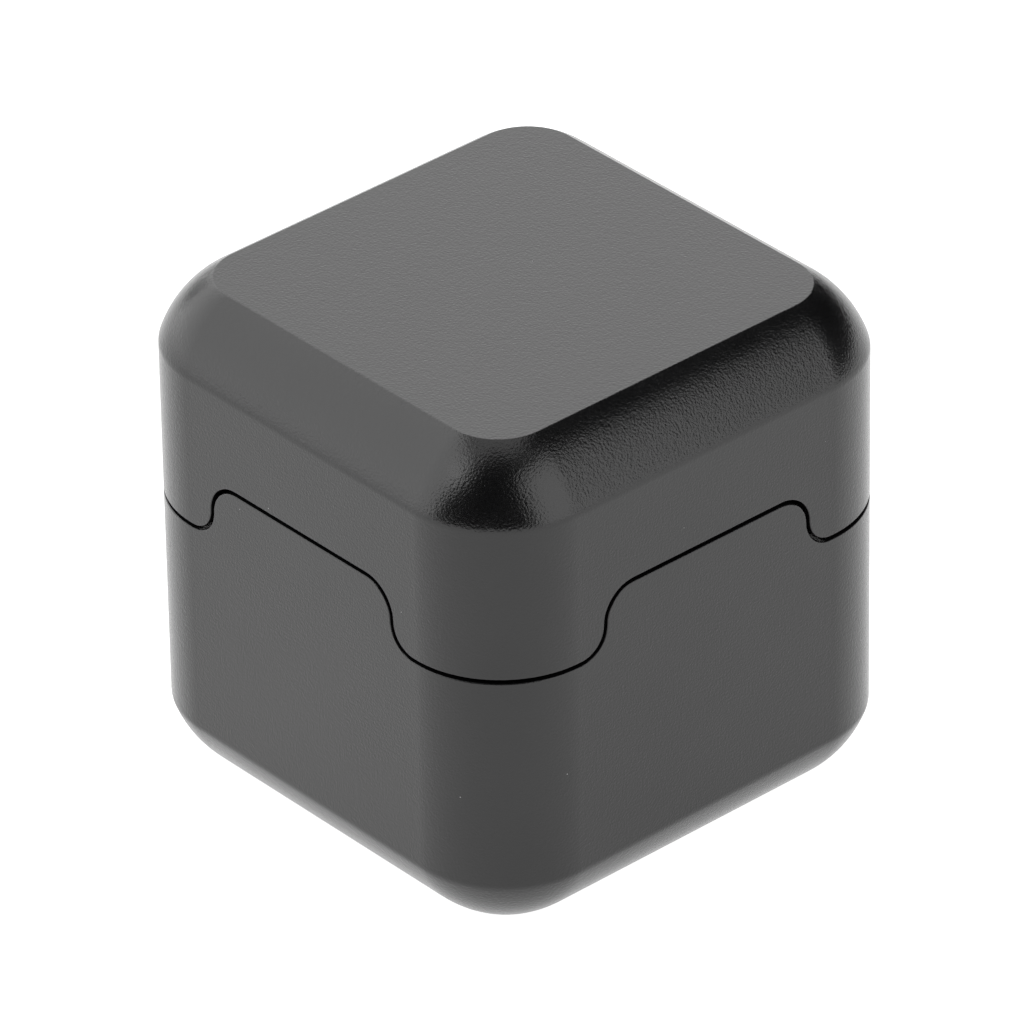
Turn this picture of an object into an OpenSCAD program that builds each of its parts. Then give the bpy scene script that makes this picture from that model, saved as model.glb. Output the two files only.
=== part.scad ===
/* [Body] */
// Width and depth of the cube
side = 25; // [24:0.5:32]
// Height of the closed cube
height = 24.6; // [24:0.1:32]
// Radius of the upright edges
corner_r = 5; // [4:0.25:5.5]
// How far the bevel comes in at the top and the bottom
bevel_in = 2.5; // [1:0.1:3.5]
// How far the bevel runs down each side
bevel_drop = 3.1; // [1:0.1:4]
// How far the bevel swells past a straight chamfer
bevel_crown = 0.36; // [0.1:0.02:0.5]

/* [Parting line] */
// Height of the parting line's middle above the underside
part_z = 15.25; // [14.5:0.25:18]
// Height of the tabs, from the lobes' low ends to the tabs' tops
wave_rise = 3; // [2:0.2:3.4]
// Half the width of a tab at mid height
tab_half = 5.85; // [5:0.05:6.4]
// Gap between the two halves
gap = 0.2; // [0.1:0.05:0.3]

/* [Lift] */
// Diameter of the shaft
shaft_d = 3; // [2.5:0.1:3.4]
// Radial clearance of the shaft in its bush and its washer
shaft_fit = 0.03; // [0.01:0.01:0.08]
// Diameter of the shaft's screwed end
stud_d = 4; // [3.4:0.2:5]
// Thickness of the metal above the shaft's screwed end
roof_t = 2.65; // [1:0.05:4]
// Diameter of the shaft's shoulder
shoulder_d = 6; // [5:0.1:6.4]
// Thickness of the landing washer
landing_t = 0.5; // [0.3:0.1:1]
// Thickness of the bush's flange
flange_t = 0.8; // [0.5:0.1:1.2]
// Diameter of the bush's flange
flange_d = 6.6; // [6:0.1:7]
// Wire diameter of the return spring
wire_d = 0.45; // [0.3:0.05:0.5]
// Outer diameter of the return spring
spring_d = 5.8; // [5:0.1:6.4]
// Thickness of the spring washer
washer_t = 0.6; // [0.4:0.1:0.8]
// Diameter of the spring washer
washer_d = 7; // [6:0.1:8]
// Thickness of the retaining clip
clip_t = 0.6; // [0.4:0.1:0.7]
// Outer diameter of the retaining clip
clip_d = 6; // [5:0.1:7]
// Diameter of the shaft in the clip's groove
groove_d = 2.3; // [1.9:0.1:2.4]
// Length of the shaft below its clip
shaft_tail = 0.6; // [0.4:0.1:0.8]
// Room between the shaft's end and the base cover
tail_room = 0.6; // [0.3:0.1:0.8]
// Width across the flats of the hex socket in the shaft's end
hex_af = 1.3; // [0.9:0.1:1.4]
// Depth of the hex socket
hex_depth = 1.2; // [0.8:0.1:1.5]

/* [Bearing] */
// Bore of the bearing
bearing_bore = 5; // [4.6:0.1:5.2]
// Outer diameter of the bearing
bearing_d = 10; // [9.8:0.1:10.6]
// Width of the bearing
bearing_w = 4; // [3:0.1:4]
// Diameter of the balls
ball_d = 1.5; // [1.2:0.05:1.5]
// Number of balls
ball_count = 8; // [6:1:10]
// Clearance between the balls and the races
ball_fit = 0.05; // [0.02:0.01:0.08]
// Depth of the two ball grooves
race_depth = 0.3; // [0.2:0.02:0.4]
// Thickness of the cage across its ring
cage_t = 0.66; // [0.4:0.02:0.7]
// Height of the cage
cage_h = 1.7; // [1.6:0.1:2.2]
// Thickness of the shields
shield_t = 0.2; // [0.15:0.05:0.3]
// How far the shields lie inside the bearing's faces
shield_inset = 0.15; // [0.1:0.05:0.2]
// Clearance between the shields and the inner ring
shield_fit = 0.1; // [0.05:0.01:0.15]
// Thickness of the lip above the bearing
lip_t = 1.55; // [1:0.05:2]
// Clearance of the inner ring inside the lip
lip_fit = 0.4; // [0.2:0.05:0.6]
// Thickness of the circlip
circlip_t = 0.8; // [0.6:0.1:1]
// Depth of the circlip's groove
circlip_groove = 0.4; // [0.3:0.05:0.6]
// Clearance between the circlip's lugs and what turns inside them
lug_fit = 0.3; // [0.2:0.05:0.5]

/* [Magnets] */
// Diameter of the magnets
magnet_d = 3; // [2:0.2:3.2]
// Length of the magnets
magnet_l = 2; // [1:0.25:3]
// Distance of the magnets' axes from the cube's sides
magnet_in = 3.2; // [2.8:0.1:3.5]

/* [Base cover] */
// Diameter of the base cover
cover_d = 15; // [14:0.5:16]
// Thickness of the base cover
cover_t = 1.6; // [1.2:0.1:1.8]
// Chamfer round the base cover
cover_chamfer = 0.3; // [0.1:0.1:0.5]
// Diameter of the two key holes
key_d = 1.5; // [1:0.1:2]
// Depth of the key holes
key_depth = 1; // [0.5:0.1:1]
// Distance between the key holes
key_span = 9; // [7:0.5:11]
// Diameter of the room for the spring
chamber_d = 12; // [10:0.5:12.5]
// Land left under the circlip's groove
land_t = 1.2; // [0.8:0.1:1.6]

/* [Hidden] */
$fn = 96;
far = 4 * max(side, height);
cut = 0.5;

half = side / 2;
post_at = half - corner_r;

wave_r = wave_rise / 2;
cross_top = part_z + wave_r;
corner_top = part_z - wave_r;
ceiling = cross_top + gap;

bearing_top = cross_top - lip_t;
bearing_low = bearing_top - bearing_w;
bearing_mid = bearing_top - bearing_w / 2;
pitch_r = (bearing_bore + bearing_d) / 4;
groove_r = ball_d / 2 + ball_fit;
inner_land = pitch_r - groove_r + race_depth + ball_fit;
outer_land = pitch_r + groove_r - race_depth - ball_fit;
shield_r = outer_land + shield_inset;
shield_z = [bearing_low + shield_inset, bearing_top - shield_inset - shield_t];

stud_top = height - roof_t;
shoulder_low = bearing_top + landing_t;
shaft_low = cover_t + tail_room;
clip_low = shaft_low + shaft_tail;
clip_top = clip_low + clip_t;
washer_top = clip_top + washer_t;
bush_low = bearing_low - flange_t;
spring_l = bush_low - washer_top;
lip_r = inner_land + lip_fit;

circlip_low = bearing_low - circlip_t;
circlip_r = bearing_d / 2 + circlip_groove;
chamber_top = circlip_low - land_t;
hole_r = shaft_d / 2 + shaft_fit;
magnet_at = half - magnet_in;

grey = [0.16, 0.16, 0.17];
steel = [0.72, 0.73, 0.75];
brass = [0.80, 0.66, 0.36];

// The region outside the bevel's arc, with the square corner that it takes off at the origin.
// The arc crosses the side bevel_drop down from the corner, and the end bevel_in in from it.
module bevel_waste() {
    chord = norm([bevel_in, bevel_drop]);
    arc_r = (chord * chord / 4 + bevel_crown * bevel_crown) / (2 * bevel_crown);
    back = (arc_r - bevel_crown) / chord;
    difference() {
        translate([-bevel_in - cut, -bevel_drop - cut]) square([bevel_in + 2 * cut, bevel_drop + 2 * cut]);
        translate([-bevel_in / 2 - back * bevel_drop, -bevel_drop / 2 - back * bevel_in]) circle(r = arc_r);
    }
}

// Half of the cube's outline, from its middle out to x = edge, bevelled at both ends.
module half_outline(edge) {
    difference() {
        square([edge, height]);
        translate([edge, height]) bevel_waste();
        translate([edge, 0]) mirror([0, 1]) bevel_waste();
    }
}

// The cube's outline run straight through from front to back, with square upright edges.
module straight_block() {
    rotate([90, 0, 0]) linear_extrude(height = side, center = true) {
        half_outline(half);
        mirror([1, 0]) half_outline(half);
    }
}

// What rounding takes off the upright edge at +X +Y: the corner column less the turned outline.
module corner_waste() {
    translate([post_at, post_at, 0]) difference() {
        translate([0, 0, -cut]) cube([half, half, height + 2 * cut]);
        rotate_extrude() half_outline(corner_r);
    }
}

// The whole cube as one block.
module block() {
    difference() {
        intersection() {
            straight_block();
            rotate([0, 0, 90]) straight_block();
        }
        for (turn = [0:90:270]) rotate([0, 0, turn]) corner_waste();
    }
}

// End view of one raised bar and the body below it, with its outline pushed out by grow.
module bar_outline(grow) {
    top_half = tab_half - wave_r;
    foot = tab_half + wave_r;
    translate([-far, -cut]) square([2 * far, corner_top + grow + cut]);
    translate([-tab_half - grow, 0]) square([2 * (tab_half + grow), part_z]);
    translate([-top_half, 0]) square([2 * top_half, cross_top + grow]);
    for (s = [-1, 1]) {
        translate([s * top_half, part_z]) circle(r = wave_r + grow);
        difference() {
            translate([s > 0 ? 0 : -foot, corner_top]) square([foot, wave_r]);
            translate([s * foot, part_z]) circle(r = wave_r - grow);
        }
    }
}

// The space of the lower half: everything under the parting line, with its raised cross.
module below_line(grow) {
    for (turn = [0, 90])
        rotate([0, 0, turn]) rotate([90, 0, 0])
            linear_extrude(height = far, center = true) bar_outline(grow);
}

module at_corners(distance) {
    for (x = [-1, 1], y = [-1, 1]) translate([x * distance, y * distance, 0]) children();
}

module bore(d, from, to) {
    translate([0, 0, from]) cylinder(d = d, h = to - from);
}

module lower_shell() color(grey) {
    difference() {
        intersection() {
            block();
            below_line(0);
        }
        bore(cover_d, -cut, cover_t);
        bore(chamber_d, cover_t - cut, chamber_top);
        bore(bearing_d, chamber_top - cut, bearing_top);
        bore(2 * circlip_r, circlip_low, bearing_low);
        bore(2 * lip_r, bearing_top - cut, cross_top + cut);
        at_corners(magnet_at) bore(magnet_d, corner_top - magnet_l, corner_top + cut);
    }
}

module upper_shell() color(grey) {
    difference() {
        block();
        below_line(gap);
        bore(stud_d, ceiling - cut, stud_top);
        at_corners(magnet_at) bore(magnet_d, corner_top, corner_top + gap + magnet_l);
    }
}

module base_cover() color(grey) {
    difference() {
        rotate_extrude() polygon([
            [0, 0], [cover_d / 2 - cover_chamfer, 0], [cover_d / 2, cover_chamfer],
            [cover_d / 2, cover_t], [0, cover_t]]);
        for (s = [-1, 1]) translate([s * key_span / 2, 0, -cut]) cylinder(d = key_d, h = key_depth + cut);
    }
}

module centre_shaft() color(steel) {
    difference() {
        union() {
            bore(groove_d, shaft_low, clip_top + cut);
            bore(shaft_d, shaft_low, clip_low);
            bore(shaft_d, clip_top, ceiling);
            bore(shoulder_d, shoulder_low, ceiling);
            bore(stud_d, shoulder_low, stud_top);
        }
        translate([0, 0, shaft_low - cut]) cylinder(d = hex_af / cos(30), h = hex_depth + cut, $fn = 6);
    }
}

// A flat ring from z = low up.
module ring(outer_r, inner_r, low, thickness) {
    translate([0, 0, low]) difference() {
        cylinder(r = outer_r, h = thickness);
        translate([0, 0, -cut]) cylinder(r = inner_r, h = thickness + 2 * cut);
    }
}

module landing_washer() color("ivory") {
    ring(inner_land - ball_fit, shaft_d / 2, bearing_top, landing_t);
}

module slide_bush() color(brass) {
    difference() {
        union() {
            bore(bearing_bore, bush_low, bearing_top - 2 * ball_fit);
            bore(flange_d, bush_low, bearing_low);
        }
        bore(2 * hole_r, bush_low - cut, bearing_top + cut);
    }
}

// The spring's outer shape, as one plain sleeve.
module return_spring() color(steel) {
    ring(spring_d / 2, spring_d / 2 - wire_d, washer_top, spring_l);
}

module spring_washer() color(steel) {
    ring(washer_d / 2, hole_r, clip_top, washer_t);
}

// E-shaped clip: open at +X, by less than its groove, with two rounded reliefs behind.
module retaining_clip() color(steel) {
    mouth = 0.84 * groove_d;
    relief_r = (clip_d - groove_d) / 8;
    relief_turn = 110;
    translate([0, 0, clip_low]) difference() {
        cylinder(d = clip_d, h = clip_t);
        translate([0, 0, -cut]) cylinder(d = groove_d, h = clip_t + 2 * cut);
        translate([0, -mouth / 2, -cut]) cube([clip_d, mouth, clip_t + 2 * cut]);
        for (s = [-1, 1]) rotate([0, 0, s * relief_turn])
            translate([groove_d / 2 + relief_r / 2, 0, -cut]) cylinder(r = relief_r, h = clip_t + 2 * cut);
    }
}

module race(inner_r, outer_r) {
    rotate_extrude() difference() {
        translate([inner_r, bearing_low]) square([outer_r - inner_r, bearing_w]);
        translate([pitch_r, bearing_mid]) circle(r = groove_r);
        for (z = [bearing_low - cut, bearing_top - shield_inset - shield_t])
            translate([outer_land - cut, z]) square([shield_r - outer_land + cut,
                                                     shield_inset + shield_t + cut]);
    }
}

module bearing_inner_ring() color(steel) race(bearing_bore / 2, inner_land);

module bearing_outer_ring() color(steel) race(outer_land, bearing_d / 2);

module at_balls() {
    for (i = [0:ball_count - 1]) rotate([0, 0, i * 360 / ball_count])
        translate([pitch_r, 0, bearing_mid]) children();
}

module bearing_balls() color(steel) at_balls() sphere(d = ball_d);

module bearing_cage() color(brass) {
    difference() {
        ring(pitch_r + cage_t / 2, pitch_r - cage_t / 2, bearing_mid - cage_h / 2, cage_h);
        at_balls() sphere(r = ball_d / 2 + ball_fit / 2);
    }
}

module shield(low) {
    ring(shield_r, inner_land + shield_fit, low, shield_t);
}

module bearing_shield_top() color(steel) shield(shield_z[1]);

module bearing_shield_bottom() color(steel) shield(shield_z[0]);

// Internal retaining ring: open at the front, with an eyed lug on each side of the opening.
module bearing_circlip() color(steel) {
    lug_r = (bearing_d / 2 - max(flange_d / 2, inner_land) - lug_fit) / 2;
    lug_at = bearing_d / 2 - lug_r;
    lug_turn = 22;
    opening = 0.24 * outer_land;
    translate([0, 0, circlip_low]) rotate([0, 0, -90]) difference() {
        union() {
            difference() {
                ring(circlip_r, outer_land, 0, circlip_t);
                translate([0, -opening, -cut]) cube([far, 2 * opening, circlip_t + 2 * cut]);
            }
            for (s = [-1, 1]) rotate([0, 0, s * lug_turn])
                translate([lug_at, 0, 0]) cylinder(r = lug_r, h = circlip_t);
        }
        for (s = [-1, 1]) rotate([0, 0, s * lug_turn])
            translate([lug_at, 0, -cut]) cylinder(r = lug_r / 2, h = circlip_t + 2 * cut);
    }
}

// The four corners in order, as multiples of the magnets' distance from the middle.
corners = [[1, 1], [-1, 1], [-1, -1], [1, -1]];

module magnet(i, low) color(steel) {
    translate([corners[i].x * magnet_at, corners[i].y * magnet_at, low]) cylinder(d = magnet_d, h = magnet_l);
}

module upper_magnet(i) magnet(i, corner_top + gap);

module lower_magnet(i) magnet(i, corner_top - magnet_l);

lower_shell();
upper_shell();
base_cover();
centre_shaft();
landing_washer();
slide_bush();
return_spring();
spring_washer();
retaining_clip();
bearing_outer_ring();
bearing_inner_ring();
bearing_cage();
bearing_balls();
bearing_shield_top();
bearing_shield_bottom();
bearing_circlip();
for (i = [1:4]) {
    upper_magnet(i - 1);
    lower_magnet(i - 1);
}
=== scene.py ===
import math
import bmesh
import bpy
from mathutils import Matrix, Vector


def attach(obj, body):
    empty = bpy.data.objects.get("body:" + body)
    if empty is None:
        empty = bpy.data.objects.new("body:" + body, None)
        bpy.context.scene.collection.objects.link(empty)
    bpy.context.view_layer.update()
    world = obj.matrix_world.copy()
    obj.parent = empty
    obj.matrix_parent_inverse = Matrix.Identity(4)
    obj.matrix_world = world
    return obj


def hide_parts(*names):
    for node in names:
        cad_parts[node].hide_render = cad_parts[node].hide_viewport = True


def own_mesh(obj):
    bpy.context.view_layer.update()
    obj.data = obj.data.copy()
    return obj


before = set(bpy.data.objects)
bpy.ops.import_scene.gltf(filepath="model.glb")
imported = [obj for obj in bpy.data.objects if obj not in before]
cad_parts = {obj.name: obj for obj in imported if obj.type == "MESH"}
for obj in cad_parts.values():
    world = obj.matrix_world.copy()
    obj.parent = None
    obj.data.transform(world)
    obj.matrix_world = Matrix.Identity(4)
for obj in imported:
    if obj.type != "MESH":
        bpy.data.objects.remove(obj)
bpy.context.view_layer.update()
mm = 0.001
tiny = 1e-7


def deselectAll():
    if bpy.context.object and bpy.context.object.mode != "OBJECT":
        bpy.ops.object.mode_set(mode="OBJECT")
    bpy.ops.object.select_all(action="DESELECT")


def activate(piece):
    deselectAll()
    piece.select_set(True)
    bpy.context.view_layer.objects.active = piece


def named(name):
    piece = bpy.context.object
    piece.name = name
    piece.data.name = name
    return piece


def editMesh(piece, mode="FACE", action="DESELECT"):
    activate(piece)
    bpy.ops.object.mode_set(mode="EDIT")
    bpy.ops.mesh.select_mode(type=mode)
    bpy.ops.mesh.select_all(action=action)


def leaveEdit():
    bpy.ops.object.mode_set(mode="OBJECT")


def pickFaces(piece, test):
    mesh = bmesh.from_edit_mesh(piece.data)
    for face in mesh.faces:
        face.select_set(bool(test(face.calc_center_median(), face.normal)))
    mesh.select_flush_mode()
    bmesh.update_edit_mesh(piece.data)


def pickEdges(piece, test):
    mesh = bmesh.from_edit_mesh(piece.data)
    for edge in mesh.edges:
        edge.select_set(bool(test(edge.verts[0].co, edge.verts[1].co)))
    mesh.select_flush_mode()
    bmesh.update_edit_mesh(piece.data)


def applyAll(piece):
    activate(piece)
    for modifier in list(piece.modifiers):
        bpy.ops.object.modifier_apply(modifier=modifier.name)


def placeMesh(piece):
    # the object goes back to the origin with its place in its mesh
    activate(piece)
    bpy.ops.object.transform_apply(location=True, rotation=True, scale=True)


def copyOf(piece, name):
    activate(piece)
    bpy.ops.object.duplicate()
    return named(name)


def joined(pieces, name):
    deselectAll()
    for piece in pieces:
        piece.select_set(True)
    bpy.context.view_layer.objects.active = pieces[0]
    bpy.ops.object.join()
    return named(name)


def combine(piece, other, operation="DIFFERENCE"):
    # cuts, keeps or joins by the other solid, which is used up
    cutter = piece.modifiers.new("cut", "BOOLEAN")
    cutter.operation = operation
    cutter.solver = "EXACT"
    cutter.object = other
    applyAll(piece)
    bpy.data.objects.remove(other)


def rounded(corners, steps=4, closed=False):
    # (x, y, rounding) corners to (x, y) points, with an arc of the given radius at each corner
    points = []
    count = len(corners)
    for i, corner in enumerate(corners):
        here = Vector(corner[:2])
        radius = corner[2] if len(corner) > 2 else 0.0
        if radius == 0.0 or (not closed and i in (0, count - 1)):
            points.append(here)
            continue
        back = (Vector(corners[i - 1][:2]) - here).normalized()
        ahead = (Vector(corners[(i + 1) % count][:2]) - here).normalized()
        half = back.angle(ahead) / 2
        centre = here + (back + ahead).normalized() * (radius / math.sin(half))
        start = here + back * (radius / math.tan(half)) - centre
        sweep = start.angle_signed(here + ahead * (radius / math.tan(half)) - centre)
        for step in range(steps + 1):
            # angle_signed is clockwise, and so is this turn
            angle = -sweep * step / steps
            turn = Vector((start.x * math.cos(angle) - start.y * math.sin(angle),
                           start.x * math.sin(angle) + start.y * math.cos(angle)))
            points.append(centre + turn)
    return points


def turned(name, corners, closed=True, sides=96, steps=4):
    # a lathe-turned piece from (radius, height, rounding) corners in millimetres:
    # closed runs round a ring's section, open is a solid between two flat ends
    points = [p * mm for p in rounded(corners, steps, closed)]
    if closed:
        points.append(points[0])
    deselectAll()
    bpy.ops.mesh.primitive_circle_add(vertices=sides, radius=points[0].x, location=(0, 0, points[0].y),
                                      fill_type="NOTHING" if closed else "NGON")
    piece = named(name)
    placeMesh(piece)
    editMesh(piece, "EDGE", "SELECT")
    for before, after in zip(points, points[1:]):
        grow = after.x / before.x
        bpy.ops.mesh.extrude_region_move(TRANSFORM_OT_translate={"value": (0, 0, after.y - before.y)})
        bpy.ops.transform.resize(value=(grow, grow, 1), center_override=(0, 0, after.y))
    bpy.ops.mesh.select_all(action="SELECT")
    bpy.ops.mesh.remove_doubles(threshold=1e-6)
    bpy.ops.mesh.normals_make_consistent(inside=False)
    leaveEdit()
    return piece


def coil(name, sides, thickness, radius, low, path, stepsPerTurn):
    # a section of the given half thickness wound up the axis; path gives each step's
    # (rise, outward shift) in millimetres
    deselectAll()
    bpy.ops.mesh.primitive_circle_add(vertices=sides, radius=thickness * mm, fill_type="NGON",
                                      rotation=(0, math.pi / 2, 0), location=(0, radius * mm, low * mm))
    piece = named(name)
    placeMesh(piece)
    editMesh(piece, "FACE", "SELECT")
    turn = 2 * math.pi / stepsPerTurn
    angle = math.pi / 2
    for rise, shift in path:
        angle += turn
        bpy.ops.mesh.extrude_region_move(TRANSFORM_OT_translate={"value": (0, 0, rise * mm)})
        bpy.ops.transform.rotate(value=-turn, orient_axis="Z", center_override=(0, 0, 0))
        if shift:
            bpy.ops.transform.translate(value=(shift * mm * math.cos(angle), shift * mm * math.sin(angle), 0))
    bpy.ops.mesh.select_all(action="SELECT")
    bpy.ops.mesh.normals_make_consistent(inside=False)
    leaveEdit()
    return piece


def moved(piece, x, y, z):
    piece.location = (x * mm, y * mm, z * mm)
    placeMesh(piece)
    return piece


def block(name, size, centre):
    deselectAll()
    bpy.ops.mesh.primitive_cube_add(size=mm, scale=size, location=[c * mm for c in centre])
    piece = named(name)
    placeMesh(piece)
    return piece


def finished(piece, width=0.0, limit=40, smooth=28):
    # small rounded edges, then smooth shading that keeps the flats flat
    activate(piece)
    bpy.ops.object.shade_smooth_by_angle(angle=math.radians(smooth))
    if width:
        rounding = piece.modifiers.new("edges", "BEVEL")
        rounding.width = width * mm
        rounding.segments = 2
        rounding.limit_method = "ANGLE"
        rounding.angle_limit = math.radians(limit)
        rounding.use_clamp_overlap = False
        rounding.miter_outer = "MITER_ARC"
        rounding.harden_normals = True
    weighted = piece.modifiers.new("normals", "WEIGHTED_NORMAL")
    weighted.keep_sharp = True
    weighted.weight = 80
    applyAll(piece)


def put(piece, body, material, slot, *nodes):
    # hangs a finished piece on its body, in place of its CAD nodes
    piece.data.materials.clear()
    piece.data.materials.append(material)
    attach(piece, body)
    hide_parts(*nodes)


class Wire:
    def __init__(self, tree, socket):
        self.tree = tree
        self.socket = socket

    def node(self, kind, settings=None, **sockets):
        made = self.tree.nodes.new(kind)
        for key, value in (settings or {}).items():
            setattr(made, key, value)
        for key, value in sockets.items():
            target = made.inputs[int(key[1:])] if key[0] == "i" and key[1:].isdigit() else made.inputs[key]
            if isinstance(value, Wire):
                self.tree.links.new(value.socket, target)
            else:
                target.default_value = value
        return made

    def maths(self, operation, other, flip=False):
        first, second = (other, self) if flip else (self, other)
        made = self.node("ShaderNodeMath", {"operation": operation}, i0=first, i1=second)
        return Wire(self.tree, made.outputs[0])

    def __add__(self, other):
        return self.maths("ADD", other)

    __radd__ = __add__

    def __sub__(self, other):
        return self.maths("SUBTRACT", other)

    def __rsub__(self, other):
        return self.maths("SUBTRACT", other, True)

    def __mul__(self, other):
        return self.maths("MULTIPLY", other)

    __rmul__ = __mul__

    def __lt__(self, other):
        return self.maths("LESS_THAN", other)

    def ramp(self, low, high):
        # 0 below low, 1 above high, smooth between
        made = self.node("ShaderNodeMapRange", {"interpolation_type": "SMOOTHSTEP"}, i0=self, i1=low, i2=high)
        return Wire(self.tree, made.outputs[0])


def newMaterial(name, color, metallic, roughness, **constants):
    material = bpy.data.materials.new(name)
    material.use_nodes = True
    shader = material.node_tree.nodes["Principled BSDF"]
    shader.inputs["Base Color"].default_value = (*color, 1.0)
    shader.inputs["Metallic"].default_value = metallic
    shader.inputs["Roughness"].default_value = roughness
    for socket, value in constants.items():
        shader.inputs[socket.replace("_", " ")].default_value = value
    return material, shader


def objectPoint(material):
    tree = material.node_tree
    made = tree.nodes.new("ShaderNodeTexCoord")
    return Wire(tree, made.outputs["Object"])


def noise(point, scale, detail=2.0, roughness=0.5):
    made = point.node("ShaderNodeTexNoise", {}, Vector=point, Scale=scale, Detail=detail, Roughness=roughness)
    return Wire(point.tree, made.outputs["Fac"])


def heightOf(point):
    made = point.node("ShaderNodeSeparateXYZ", {}, Vector=point)
    return Wire(point.tree, made.outputs["Z"])


def stretched(point, scale):
    made = point.node("ShaderNodeMapping", {"vector_type": "POINT"}, Vector=point, Scale=scale)
    return Wire(point.tree, made.outputs["Vector"])


def specks(point, scale):
    # distance to the nearest scattered point, in cells
    made = point.node("ShaderNodeTexVoronoi", {}, Vector=point, Scale=scale)
    return Wire(point.tree, made.outputs["Distance"])


def mixColor(factor, dark, light):
    dark, light = (c if isinstance(c, Wire) else (*c, 1.0) for c in (dark, light))
    made = factor.node("ShaderNodeMix", {"data_type": "RGBA"}, Factor=factor, i6=dark, i7=light)
    return Wire(factor.tree, made.outputs[2])


def feed(material, shader, socket, wire):
    material.node_tree.links.new(wire.socket, shader.inputs[socket])


def bumps(material, shader, height):
    # height is in millimetres
    made = height.node("ShaderNodeBump", {}, Height=height, Distance=mm, Strength=1.0)
    material.node_tree.links.new(made.outputs[0], shader.inputs["Normal"])


anodised = {
    # scales are features to a metre, depths and heights are millimetres
    "dark": (0.0030, 0.0030, 0.0032),
    "light": (0.0060, 0.0060, 0.0062),
    "roughness": 0.22,
    "roughnessSpread": 0.06,
    "ior": 1.5,
    "grain": 9200,          # blast marks
    "grainDepth": 0.0165,
    "peel": 3600,           # broader unevenness
    "peelDepth": 0.004,
    "cloud": 260,           # slow changes of tone
    "millPitch": 7000,      # cutter marks round the sides
    "millRun": 160,
    "millDepth": 0.0010,
    "millTop": 21.2,        # the cutter marks fade out above this
    "millFade": 1.0,
    "dust": 420,
    "dustSize": 0.011,      # of a dust cell's width
    "dustColor": (0.30, 0.30, 0.30),
    "dustRoughness": 0.4,
}


def makeAnodised():
    s = anodised
    material, shader = newMaterial("anodisedBlack", s["light"], 0.0, s["roughness"], IOR=s["ior"])
    point = objectPoint(material)
    grain = noise(point, s["grain"], 1.5, 0.6)
    peel = noise(point, s["peel"], 1.0, 0.5)
    cloud = noise(point, s["cloud"], 3.0, 0.55)
    mill = noise(stretched(point, (s["millRun"], s["millRun"], s["millPitch"])), 1.0, 2.0, 0.7)
    dust = specks(point, s["dust"]) < s["dustSize"]
    tone = mixColor((grain * 0.4 + cloud * 0.6).ramp(0.3, 0.7), s["dark"], s["light"])
    feed(material, shader, "Base Color", mixColor(dust, tone, s["dustColor"]))
    uneven = (grain - 0.5) * s["roughnessSpread"] + (cloud - 0.5) * s["roughnessSpread"]
    feed(material, shader, "Roughness", uneven + dust * s["dustRoughness"] + s["roughness"])
    fade = (s["millTop"] * mm, (s["millTop"] + s["millFade"]) * mm)
    sides = 1.0 - heightOf(point).ramp(*fade)
    blasted = grain * s["grainDepth"] + peel * s["peelDepth"]
    bumps(material, shader, blasted + mill * sides * s["millDepth"])
    return material


steels = {
    # colour, roughness, turning marks to a metre and their depth in millimetres
    "shaftSteel": ((0.56, 0.57, 0.58), 0.26, 9000, 0.0008),
    "springSteel": ((0.38, 0.39, 0.41), 0.34, 5200, 0.0012),
    "bearingSteel": ((0.62, 0.63, 0.65), 0.14, 14000, 0.0003),
    "cageSteel": ((0.50, 0.50, 0.50), 0.30, 6000, 0.0012),
    "bushBrass": ((0.72, 0.55, 0.27), 0.30, 8000, 0.0010),
    "magnetNickel": ((0.62, 0.60, 0.57), 0.18, 5000, 0.0006),
}
metalWear = {"cloud": 900, "latheRun": 300, "dulled": 0.84, "cloudRoughness": 0.12, "latheRoughness": 0.10}


def makeMetal(name):
    s = metalWear
    color, roughness, marks, depth = steels[name]
    material, shader = newMaterial(name, color, 1.0, roughness)
    point = objectPoint(material)
    cloud = noise(point, s["cloud"], 3.0, 0.6)
    fine = noise(point, marks, 1.5, 0.5)
    lathe = noise(stretched(point, (s["latheRun"], s["latheRun"], marks)), 1.0, 2.0, 0.6)
    dull = tuple(c * s["dulled"] for c in color)
    feed(material, shader, "Base Color", mixColor((cloud * 0.7 + fine * 0.3).ramp(0.3, 0.7), dull, color))
    uneven = (cloud - 0.5) * s["cloudRoughness"] + (lathe - 0.5) * s["latheRoughness"]
    feed(material, shader, "Roughness", uneven + roughness)
    bumps(material, shader, (fine + lathe) * depth)
    return material


acetal = {
    "color": (0.80, 0.78, 0.72),
    "roughness": 0.45,
    "roughnessSpread": 0.15,
    "ior": 1.48,
    "subsurface": 0.05,
    "cloud": 1200,
    "shaded": 0.9,
    "grain": 9000,
    "grainDepth": 0.002,
}


def makeAcetal():
    s = acetal
    optics = {"IOR": s["ior"], "Subsurface_Weight": s["subsurface"]}
    material, shader = newMaterial("acetal", s["color"], 0.0, s["roughness"], **optics)
    point = objectPoint(material)
    cloud = noise(point, s["cloud"], 2.0, 0.5)
    shade = tuple(c * s["shaded"] for c in s["color"])
    feed(material, shader, "Base Color", mixColor(cloud.ramp(0.3, 0.7), shade, s["color"]))
    feed(material, shader, "Roughness", (cloud - 0.5) * s["roughnessSpread"] + s["roughness"])
    bumps(material, shader, noise(point, s["grain"], 2.0, 0.5) * s["grainDepth"])
    return material


black = makeAnodised()
metals = {name: makeMetal(name) for name in steels}
white = makeAcetal()
print("materials made")


def direction(azimuth, elevation):
    # from the cube; azimuth 0 is the front, -Y, and 90 is +X
    az, el = math.radians(azimuth), math.radians(elevation)
    return Vector((math.sin(az) * math.cos(el), -math.cos(az) * math.cos(el), math.sin(el)))


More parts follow.
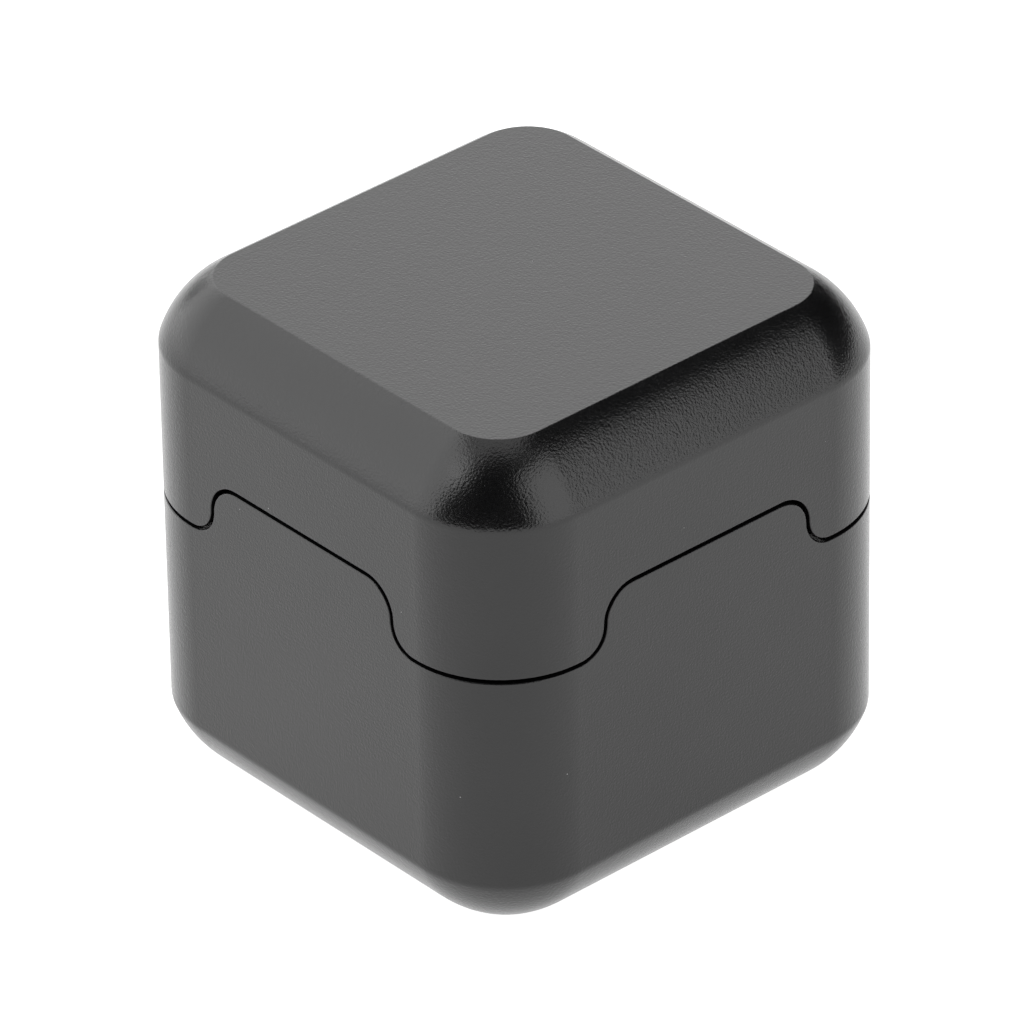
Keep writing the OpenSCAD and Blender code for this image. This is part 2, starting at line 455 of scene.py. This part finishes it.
viewpoint = {
    "azimuth": 48.762,
    "elevation": 32.673,
    "roll": -0.952,
    "distance": 0.460754,
    "lens": 366.46,
    "sensor": 36.0,
    "aim": (0.0, 0.0, 12.5 * mm),
    "shift": (-0.00461, 0.00071),
    "clip": (0.01, 20.0),
}


def makeCamera():
    s = viewpoint
    roll = math.radians(s["roll"])
    back = direction(s["azimuth"], s["elevation"])
    data = bpy.data.cameras.new("camera")
    data.lens = s["lens"]
    data.sensor_width = s["sensor"]
    data.shift_x, data.shift_y = s["shift"]
    data.clip_start, data.clip_end = s["clip"]
    camera = bpy.data.objects.new("camera", data)
    bpy.context.scene.collection.objects.link(camera)
    turn = back.to_track_quat("Z", "Y").to_matrix()
    level = turn @ Vector((1, 0, 0))
    upward = turn @ Vector((0, 1, 0))
    right = level * math.cos(roll) + upward * math.sin(roll)
    above = upward * math.cos(roll) - level * math.sin(roll)
    place = Matrix((right, above, back)).transposed().to_4x4()
    place.translation = Vector(s["aim"]) + back * s["distance"]
    camera.matrix_world = place
    bpy.context.scene.camera = camera


makeCamera()
print("camera placed")


cube = {
    # lengths in millimetres
    "side": 25.0,
    "height": 24.6,
    "cornerRadius": 5.0,
    "bevelIn": 2.5,
    "bevelDrop": 3.1,
    "bevelCrown": 0.36,
    "bevelFoot": 0.9,       # rounding where the bevel meets the sides
    "bevelHead": 0.12,      # and where it meets the flat top
    "partHeight": 15.25,
    "waveRise": 3.0,
    "tabHalf": 5.85,
    "gap": 0.2,
    "cornerSteps": 24,
    "bevelSteps": 10,
    "waveSteps": 12,
    "edgeBreak": 0.05,
}


def bevelStations():
    # (inset, rise) of points along the crowned bevel, from the side up to the flat
    s = cube
    chord = Vector((s["bevelIn"], s["bevelDrop"]))
    crown = s["bevelCrown"]
    radius = (chord.length ** 2 / 4 + crown ** 2) / (2 * crown)
    half = math.asin(chord.length / 2 / radius)
    along = chord.normalized()
    outward = Vector((-along.y, along.x))
    corners = [(0.0, -1.0)]
    for step in range(s["bevelSteps"] + 1):
        angle = half * (2 * step / s["bevelSteps"] - 1)
        point = chord / 2 + (along * math.sin(angle) + outward * (math.cos(angle) - math.cos(half))) * radius
        rounding = {0: s["bevelFoot"], s["bevelSteps"]: s["bevelHead"]}.get(step, 0.0)
        corners.append((point.x, point.y, rounding))
    corners.append((s["bevelIn"] + 1.0, s["bevelDrop"]))
    return rounded(corners, 3)[1:-1]


def makeBlock(name):
    s = cube
    points = [p * mm for p in bevelStations()]
    wall = (s["height"] - 2 * s["bevelDrop"]) * mm + 2 * points[0].y
    piece = block(name, (s["side"], s["side"], wall / mm), (0, 0, s["height"] / 2))
    editMesh(piece, "EDGE")
    pickEdges(piece, lambda a, b: abs(a.z - b.z) > wall / 2)
    bpy.ops.mesh.bevel(offset=s["cornerRadius"] * mm, segments=s["cornerSteps"], affect="EDGES")
    bpy.ops.mesh.select_mode(type="FACE")
    for sign in (1, -1):
        pickFaces(piece, lambda centre, normal: normal.z * sign > 0.9)
        for before, after in zip(points, points[1:]):
            bpy.ops.mesh.inset(thickness=after.x - before.x, depth=after.y - before.y, use_even_offset=True)
    leaveEdit()
    return piece


def makeBelowLine(name, grow):
    # the space under the parting line, with its raised cross, pushed out by grow
    s = cube
    rise = s["waveRise"] * mm
    flank = (s["tabHalf"] + grow) * mm
    low = s["partHeight"] + grow - s["waveRise"] / 2
    piece = block(name, (2 * s["side"], 2 * s["side"], low + 1), (0, 0, (low - 1) / 2))
    low *= mm
    editMesh(piece)
    for axis in ((1, 0, 0), (0, 1, 0)):
        for side in (-flank, flank):
            bpy.ops.mesh.select_all(action="SELECT")
            bpy.ops.mesh.bisect(plane_co=tuple(a * side for a in axis), plane_no=axis)
    pickFaces(piece, lambda c, n: n.z > 0.9 and (abs(c.x) < flank or abs(c.y) < flank))
    bpy.ops.mesh.extrude_region_move(TRANSFORM_OT_translate={"value": (0, 0, rise)})
    bpy.ops.mesh.select_mode(type="EDGE")

    def onFlank(a, b, axis, other):
        # whether an edge runs along the cross's flank, beyond the middle square
        level = abs(abs(a[axis]) - flank) < tiny and abs(a[axis] - b[axis]) < tiny
        return level and min(abs(a[other]), abs(b[other])) > flank - tiny

    def along(a, b, height):
        level = abs(a.z - height) < tiny and abs(b.z - height) < tiny
        return level and (onFlank(a, b, 0, 1) or onFlank(a, b, 1, 0))

    for height, radius in ((low + rise, rise / 2 + grow * mm), (low, rise / 2 - grow * mm)):
        pickEdges(piece, lambda a, b: along(a, b, height))
        bpy.ops.mesh.bevel(offset=radius - tiny, segments=s["waveSteps"], affect="EDGES")
    leaveEdit()
    return piece


bores = {
    # (radius, height) corners of what the tools take out, in millimetres
    "lowerMiddle": [(8.6, -1), (7.5, 0.1), (7.5, 1.6), (6, 1.6), (6, 9.2), (5, 9.2), (5, 10.4), (5.4, 10.4),
                    (5.4, 11.2), (5, 11.2), (5, 15.2), (3.7, 15.2), (3.7, 16.6), (4.85, 17.75)],
    "upperMiddle": [(2, 16), (2, 21.95)],
    "lowerMagnet": [(1.5, 11.75), (1.5, 13.65), (1.9, 14.05)],
    "upperMagnet": [(1.9, 13.65), (1.5, 14.05), (1.5, 15.95)],
    "magnetAt": 9.3,
}
corners = [(1, 1), (-1, 1), (-1, -1), (1, -1)]


def makeShell(name, grow, operation, half):
    piece = makeBlock(name)
    combine(piece, makeBelowLine("partingLine", grow), operation)
    combine(piece, turned("middleTool", bores[half + "Middle"], closed=False))
    at = bores["magnetAt"]
    tools = [moved(turned("magnetTool", bores[half + "Magnet"], closed=False, sides=48), x * at, y * at, 0)
             for x, y in corners]
    combine(piece, joined(tools, "magnetTools"))
    finished(piece, cube["edgeBreak"])
    return piece


lowerShell = makeShell("lowerShell", 0.0, "INTERSECT", "lower")
upperShell = makeShell("upperShell", cube["gap"], "DIFFERENCE", "upper")
put(lowerShell, "base", black, "anodised_black", "lower_shell")
put(upperShell, "upper_half", black, "anodised_black", "upper_shell")
print("shells made")


cover = {
    "section": [(7.2, 0, 0.05), (7.5, 0.3, 0.05), (7.5, 0.42), (7.33, 0.55), (7.33, 1.5), (7.25, 1.6)],
    "threadPitch": 0.42,
    "threadTurns": 2,
    "threadSteps": 64,
    "threadHalf": 0.16,
    "threadRadius": 7.34,
    "threadLow": 0.62,
    "keyHole": [(1.25, -0.4), (0.75, 0.1), (0.75, 0.95), (0.1, 1.0)],
    "keyAt": 4.5,
}


def makeCover():
    s = cover
    piece = turned("baseCover", s["section"], closed=False, sides=128)
    steps = s["threadSteps"]
    path = [(s["threadPitch"] / steps, 0.0)] * (steps * s["threadTurns"])
    ridge = coil("coverThread", 3, s["threadHalf"], s["threadRadius"], s["threadLow"], path, steps)
    combine(piece, ridge, "UNION")
    holes = [moved(turned("keyTool", s["keyHole"], closed=False, sides=48), x * s["keyAt"], 0, 0)
             for x in (-1, 1)]
    combine(piece, joined(holes, "keyTools"))
    finished(piece)
    return piece


put(makeCover(), "base", black, "anodised_black", "base_cover")

shaft = {
    "section": [(1.35, 2.2), (1.5, 2.35), (1.5, 2.8), (1.15, 2.8, 0.05), (1.15, 3.4, 0.05), (1.5, 3.4, 0.03),
                (1.5, 15.7), (2.9, 15.7), (3.0, 15.8), (3.0, 16.85), (2.9, 16.95), (1.6, 16.95),
                (1.6, 21.7), (1.35, 21.95)],
    "low": 2.2,
    "socketFlats": 1.3,
    "socketDepth": 1.2,
    "leadRadius": 1.75,     # of the cone that leads into the socket
    "leadDepth": 0.55,
    "threadPitch": 0.7,
    "threadTurns": 6,
    "threadSteps": 32,
    "threadHalf": 0.34,
    "threadRadius": 1.32,
    "threadLow": 17.15,
}


def makeShaft():
    # the thread's ridge sinks into the shaft at both ends
    s = shaft
    piece = turned("centreShaft", s["section"], closed=False)
    steps = s["threadSteps"]
    sink = steps // 3
    inward = s["threadHalf"] / sink
    count = steps * s["threadTurns"]
    path = [(s["threadPitch"] / steps, inward if i < sink else -inward if i >= count - sink else 0.0)
            for i in range(count)]
    ridge = coil("shaftThread", 3, s["threadHalf"], s["threadRadius"], s["threadLow"], path, steps)
    combine(piece, ridge, "UNION")
    low, below = s["low"], s["low"] - 1
    radius = s["socketFlats"] / 2 / math.cos(math.pi / 6)
    socket = [(radius, below), (radius, low + s["socketDepth"])]
    combine(piece, turned("socketTool", socket, closed=False, sides=6))
    lead = [(s["leadRadius"], below), (0.2, low + s["leadDepth"])]
    combine(piece, turned("socketLead", lead, closed=False, sides=48))
    finished(piece)
    return piece


put(makeShaft(), "upper_half", metals["shaftSteel"], "shaft_steel", "centre_shaft")


rings = {
    # each piece: body, finish, slot, node and the (radius, height, rounding) corners of its section
    "landingWasher": ("upper_half", white, "washer_plastic", "landing_washer",
                      [(1.5, 15.2, 0.08), (3.25, 15.2, 0.12), (3.25, 15.7, 0.12), (1.5, 15.7, 0.08)]),
    "slideBush": ("rotor", metals["bushBrass"], "bush_brass", "slide_bush",
                  [(1.53, 10.4, 0.1), (3.3, 10.4, 0.12), (3.3, 11.2, 0.08), (2.5, 11.2, 0.03),
                   (2.5, 15.1, 0.15), (1.53, 15.1, 0.1)]),
    "springWasher": ("upper_half", metals["shaftSteel"], "shaft_steel", "spring_washer",
                     [(1.53, 3.4, 0.06), (3.5, 3.4, 0.15), (3.5, 4.0, 0.15), (1.53, 4.0, 0.06)]),
    "bearingShieldTop": ("base", metals["cageSteel"], "cage_steel", "bearing_shield_top",
                         [(3.4, 14.93, 0.03), (4.02, 14.93, 0.05), (4.1, 14.85, 0.05), (4.35, 14.85, 0.04),
                          (4.35, 15.05, 0.06), (4.16, 15.05, 0.05), (4.1, 15.02, 0.05), (3.4, 15.02, 0.03)]),
    "bearingShieldBottom": ("base", metals["cageSteel"], "cage_steel", "bearing_shield_bottom",
                            [(3.4, 11.38, 0.03), (4.1, 11.38, 0.05), (4.16, 11.35, 0.05), (4.35, 11.35, 0.06),
                             (4.35, 11.55, 0.04), (4.1, 11.55, 0.05), (4.02, 11.47, 0.05), (3.4, 11.47, 0.03)]),
}
bearing = {
    "low": 11.2,
    "width": 4.0,
    "middle": 13.2,
    "bore": 2.5,
    "radius": 5.0,
    "pitchRadius": 3.75,
    "grooveRadius": 0.8,
    "grooveSteps": 12,
    "ballRadius": 0.75,
    "ballCuts": 11,
    "balls": 8,
    "pocketRoom": 0.025,
    "outerLand": 4.2,
    "innerLand": 3.3,
    "shieldSeat": 4.35,
    "seatDepth": 0.35,
    "cageHalf": 0.33,
    "cageHeight": 1.7,
}


def grooved(side, land):
    # the ball groove's arc, from its lower edge to its upper edge
    s = bearing
    reach = math.acos(abs(land - s["pitchRadius"]) / s["grooveRadius"])
    steps = s["grooveSteps"]
    angles = [reach * (2 * i / steps - 1) for i in range(steps + 1)]
    return [(s["pitchRadius"] + side * s["grooveRadius"] * math.cos(a),
             s["middle"] + s["grooveRadius"] * math.sin(a)) for a in angles]


def addRaces():
    s = bearing
    low, top = s["low"], s["low"] + s["width"]
    seat, outerLand, innerLand = s["shieldSeat"], s["outerLand"], s["innerLand"]
    lowSeat, topSeat = low + s["seatDepth"], top - s["seatDepth"]
    rim = [(seat, low, 0.04), (s["radius"], low, 0.2), (s["radius"], top, 0.2), (seat, top, 0.04)]
    shoulders = [(seat, topSeat), (outerLand, topSeat)], [(outerLand, lowSeat), (seat, lowSeat)]
    outer = rim + shoulders[0] + grooved(1, outerLand)[::-1] + shoulders[1]
    foot = [(s["bore"], top, 0.15), (s["bore"], low, 0.15), (innerLand, low, 0.08)]
    inner = foot + grooved(-1, innerLand) + [(innerLand, top, 0.08)]
    steel = metals["bearingSteel"]
    rings["bearingOuterRing"] = ("base", steel, "bearing_steel", "bearing_outer_ring", outer)
    rings["bearingInnerRing"] = ("rotor", steel, "bearing_steel", "bearing_inner_ring", inner)


addRaces()
for name, (body, finish, slot, node, section) in rings.items():
    piece = turned(name, section)
    finished(piece)
    put(piece, body, finish, slot, node)


def makeBall(radius, name):
    # a cube divided evenly and swelled to a sphere, so it has no poles
    piece = block(name, (2 * radius, 2 * radius, 2 * radius), (0, 0, 0))
    editMesh(piece, "FACE", "SELECT")
    bpy.ops.mesh.subdivide(number_cuts=bearing["ballCuts"])
    leaveEdit()
    swell = piece.modifiers.new("swell", "CAST")
    swell.factor = 1.0
    swell.use_radius_as_size = False
    swell.size = radius * mm
    applyAll(piece)
    return piece


def ballRing(radius, name):
    s = bearing
    first = makeBall(radius, name)
    balls = []
    for i in range(s["balls"]):
        turn = 2 * math.pi * i / s["balls"]
        at = (s["pitchRadius"] * math.cos(turn), s["pitchRadius"] * math.sin(turn), s["middle"])
        balls.append(moved(copyOf(first, name), *at))
    bpy.data.objects.remove(first)
    return joined(balls, name)


bearingBalls = ballRing(bearing["ballRadius"], "bearingBalls")
finished(bearingBalls)
put(bearingBalls, "ball_set", metals["bearingSteel"], "bearing_steel", "bearing_balls")


def makeCage():
    s = bearing
    low, top = s["middle"] - s["cageHeight"] / 2, s["middle"] + s["cageHeight"] / 2
    near, far = s["pitchRadius"] - s["cageHalf"], s["pitchRadius"] + s["cageHalf"]
    section = [(near, low, 0.05), (far, low, 0.05), (far, top, 0.05), (near, top, 0.05)]
    piece = turned("bearingCage", section)
    combine(piece, ballRing(s["ballRadius"] + s["pocketRoom"], "pockets"))
    finished(piece)
    return piece


put(makeCage(), "ball_set", metals["cageSteel"], "cage_steel", "bearing_cage")
print("bearing made")


def flatRing(name, s):
    low, top = s["low"], s["low"] + s["thickness"]
    return turned(name, [(s["bore"], low), (s["radius"], low), (s["radius"], top), (s["bore"], top)])


def rod(name, radius, s, over):
    # a round tool through a flat ring, standing out by over at both faces
    low, top = s["low"] - over, s["low"] + s["thickness"] + over
    return turned(name, [(radius, low), (radius, top)], closed=False, sides=48)


clip = {
    "low": 2.8,
    "thickness": 0.6,
    "radius": 3.0,
    "bore": 1.15,
    "mouth": 1.932,
    "reliefTurn": 110,
    "edgeBreak": 0.05,
    "edgeLimit": 50,
}


def makeClip():
    s = clip
    piece = flatRing("retainingClip", s)
    combine(piece, block("mouthTool", (4, s["mouth"], 4), (2, 0, s["low"])))
    relief = (s["radius"] - s["bore"]) / 4
    at = s["bore"] + relief / 2
    for side in (-1, 1):
        turn = math.radians(side * s["reliefTurn"])
        tool = rod("reliefTool", relief, s, 1)
        combine(piece, moved(tool, at * math.cos(turn), at * math.sin(turn), 0))
    finished(piece, s["edgeBreak"], s["edgeLimit"])
    return piece


put(makeClip(), "upper_half", metals["springSteel"], "spring_steel", "retaining_clip")

circlip = {
    "low": 10.4,
    "thickness": 0.8,
    "radius": 5.4,
    "bore": 4.2,
    "opening": 1.008,       # half the opening's width
    "lug": 0.7,
    "eye": 0.35,
    "lugAt": 4.3,
    "lugTurn": 22,
    "edgeBreak": 0.05,
    "edgeLimit": 50,
}


def makeCirclip():
    s = circlip
    piece = flatRing("bearingCirclip", s)
    combine(piece, block("openingTool", (2 * s["opening"], 8, 4), (0, -4, s["low"])))
    for operation, radius, over in (("UNION", s["lug"], 0), ("DIFFERENCE", s["eye"], 1)):
        for side in (-1, 1):
            turn = math.radians(-90 + side * s["lugTurn"])
            at = (s["lugAt"] * math.cos(turn), s["lugAt"] * math.sin(turn), 0)
            combine(piece, moved(rod("lugTool", radius, s, over), *at), operation)
    finished(piece, s["edgeBreak"], s["edgeLimit"])
    return piece


put(makeCirclip(), "base", metals["springSteel"], "spring_steel", "bearing_circlip")

spring = {
    "wire": 0.225,          # half the wire's thickness
    "radius": 2.675,
    "low": 4.0,
    "length": 6.4,
    "endTurns": 0.75,
    "openTurns": 2.75,
    "stepsPerTurn": 32,
    "sides": 14,
    "keep": 0.375,          # closed length over open length
}


def makeSpring():
    # closed ends and open turns between, with the pitch easing from one to the other
    s = spring
    steps = s["stepsPerTurn"]
    ends, middle = int(s["endTurns"] * steps), int(s["openTurns"] * steps)
    ease = steps // 4
    tight = 2 * s["wire"] / steps
    weights = [min(1.0, (i + 0.5) / ease, (middle - i - 0.5) / ease) for i in range(middle)]
    left = s["length"] - 2 * s["wire"] - tight * (2 * ends + middle)
    share = left / sum(weights)
    path = [(tight, 0)] * ends + [(tight + share * w, 0) for w in weights] + [(tight, 0)] * ends
    piece = coil("returnSpring", s["sides"], s["wire"], s["radius"], s["low"] + s["wire"], path, steps)
    finished(piece, smooth=50)
    return piece


returnSpring = makeSpring()
put(returnSpring, "upper_half", metals["springSteel"], "spring_steel", "return_spring")
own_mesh(returnSpring)
print("spring, clips and washers made")

magnet = {
    "section": [(1.35, 0), (1.5, 0.15, 0.1), (1.5, 1.85, 0.1), (1.35, 2.0)],
    "endInset": 0.9,
    "lower": 11.75,
    "upper": 13.95,
}


def makeMagnets():
    s = magnet
    at = bores["magnetAt"]
    first = turned("magnet", s["section"], closed=False, sides=64)
    editMesh(first)
    pickFaces(first, lambda centre, normal: abs(normal.z) > 0.9)
    # so that the flat ends keep an even shade up to their rims
    bpy.ops.mesh.inset(thickness=s["endInset"] * mm)
    leaveEdit()
    finished(first)
    for half, body in (("lower", "base"), ("upper", "upper_half")):
        for i, (x, y) in enumerate(corners, 1):
            piece = moved(copyOf(first, f"{half}Magnet{i}"), x * at, y * at, s[half])
            put(piece, body, metals["magnetNickel"], "magnet_nickel", f"{half}_magnet_{i}")
    bpy.data.objects.remove(first)


makeMagnets()
print("magnets made")


studio = {
    "floorSize": 3.0,
    "floorLow": 0.02 * mm,  # under the feet, so that the two surfaces don't coincide
    "floorColor": (0.4, 0.4, 0.4),
    "floorRoughness": 0.9,
    "floorGlow": 1.0,
    "world": 0.0,
    "lampDistance": 1.0,
}


def makeStage():
    s = studio
    deselectAll()
    bpy.ops.mesh.primitive_plane_add(size=s["floorSize"], location=(0, 0, -s["floorLow"]))
    floor = named("floor")
    material, shader = newMaterial("floor", s["floorColor"], 0.0, s["floorRoughness"])
    shader.inputs["Emission Color"].default_value = (1, 1, 1, 1)
    shader.inputs["Emission Strength"].default_value = s["floorGlow"]
    floor.data.materials.append(material)
    world = bpy.data.worlds.new("studio")
    bpy.context.scene.world = world
    world.use_nodes = True
    background = world.node_tree.nodes["Background"]
    background.inputs["Color"].default_value = (1, 1, 1, 1)
    background.inputs["Strength"].default_value = s["world"]
    bpy.context.scene.view_settings.view_transform = "Standard"


softboxes = {
    # azimuth and elevation in degrees, width and height in metres, power in watts
    "left": (307, 28, (1.6, 1.35), 16.0),
    "frontLeft": (352, 50, (0.30, 0.6), 0.55),
    "backLeft": (234, 32, (1.1, 1.0), 7.0),
    "right": (106, 25, (0.88, 1.02), 5.9),
    "overhead": (225, 86, (0.8, 0.8), 2.4),
}


def makeLamp(name, azimuth, elevation, size, power):
    back = direction(azimuth, elevation)
    data = bpy.data.lights.new(name, "AREA")
    data.shape = "RECTANGLE"
    data.size, data.size_y = size
    data.energy = power
    lamp = bpy.data.objects.new(name, data)
    bpy.context.scene.collection.objects.link(lamp)
    lamp.location = back * studio["lampDistance"]
    lamp.rotation_euler = back.to_track_quat("Z", "Y").to_euler()


makeStage()
for name, settings in softboxes.items():
    makeLamp(name, *settings)
print("stage set")
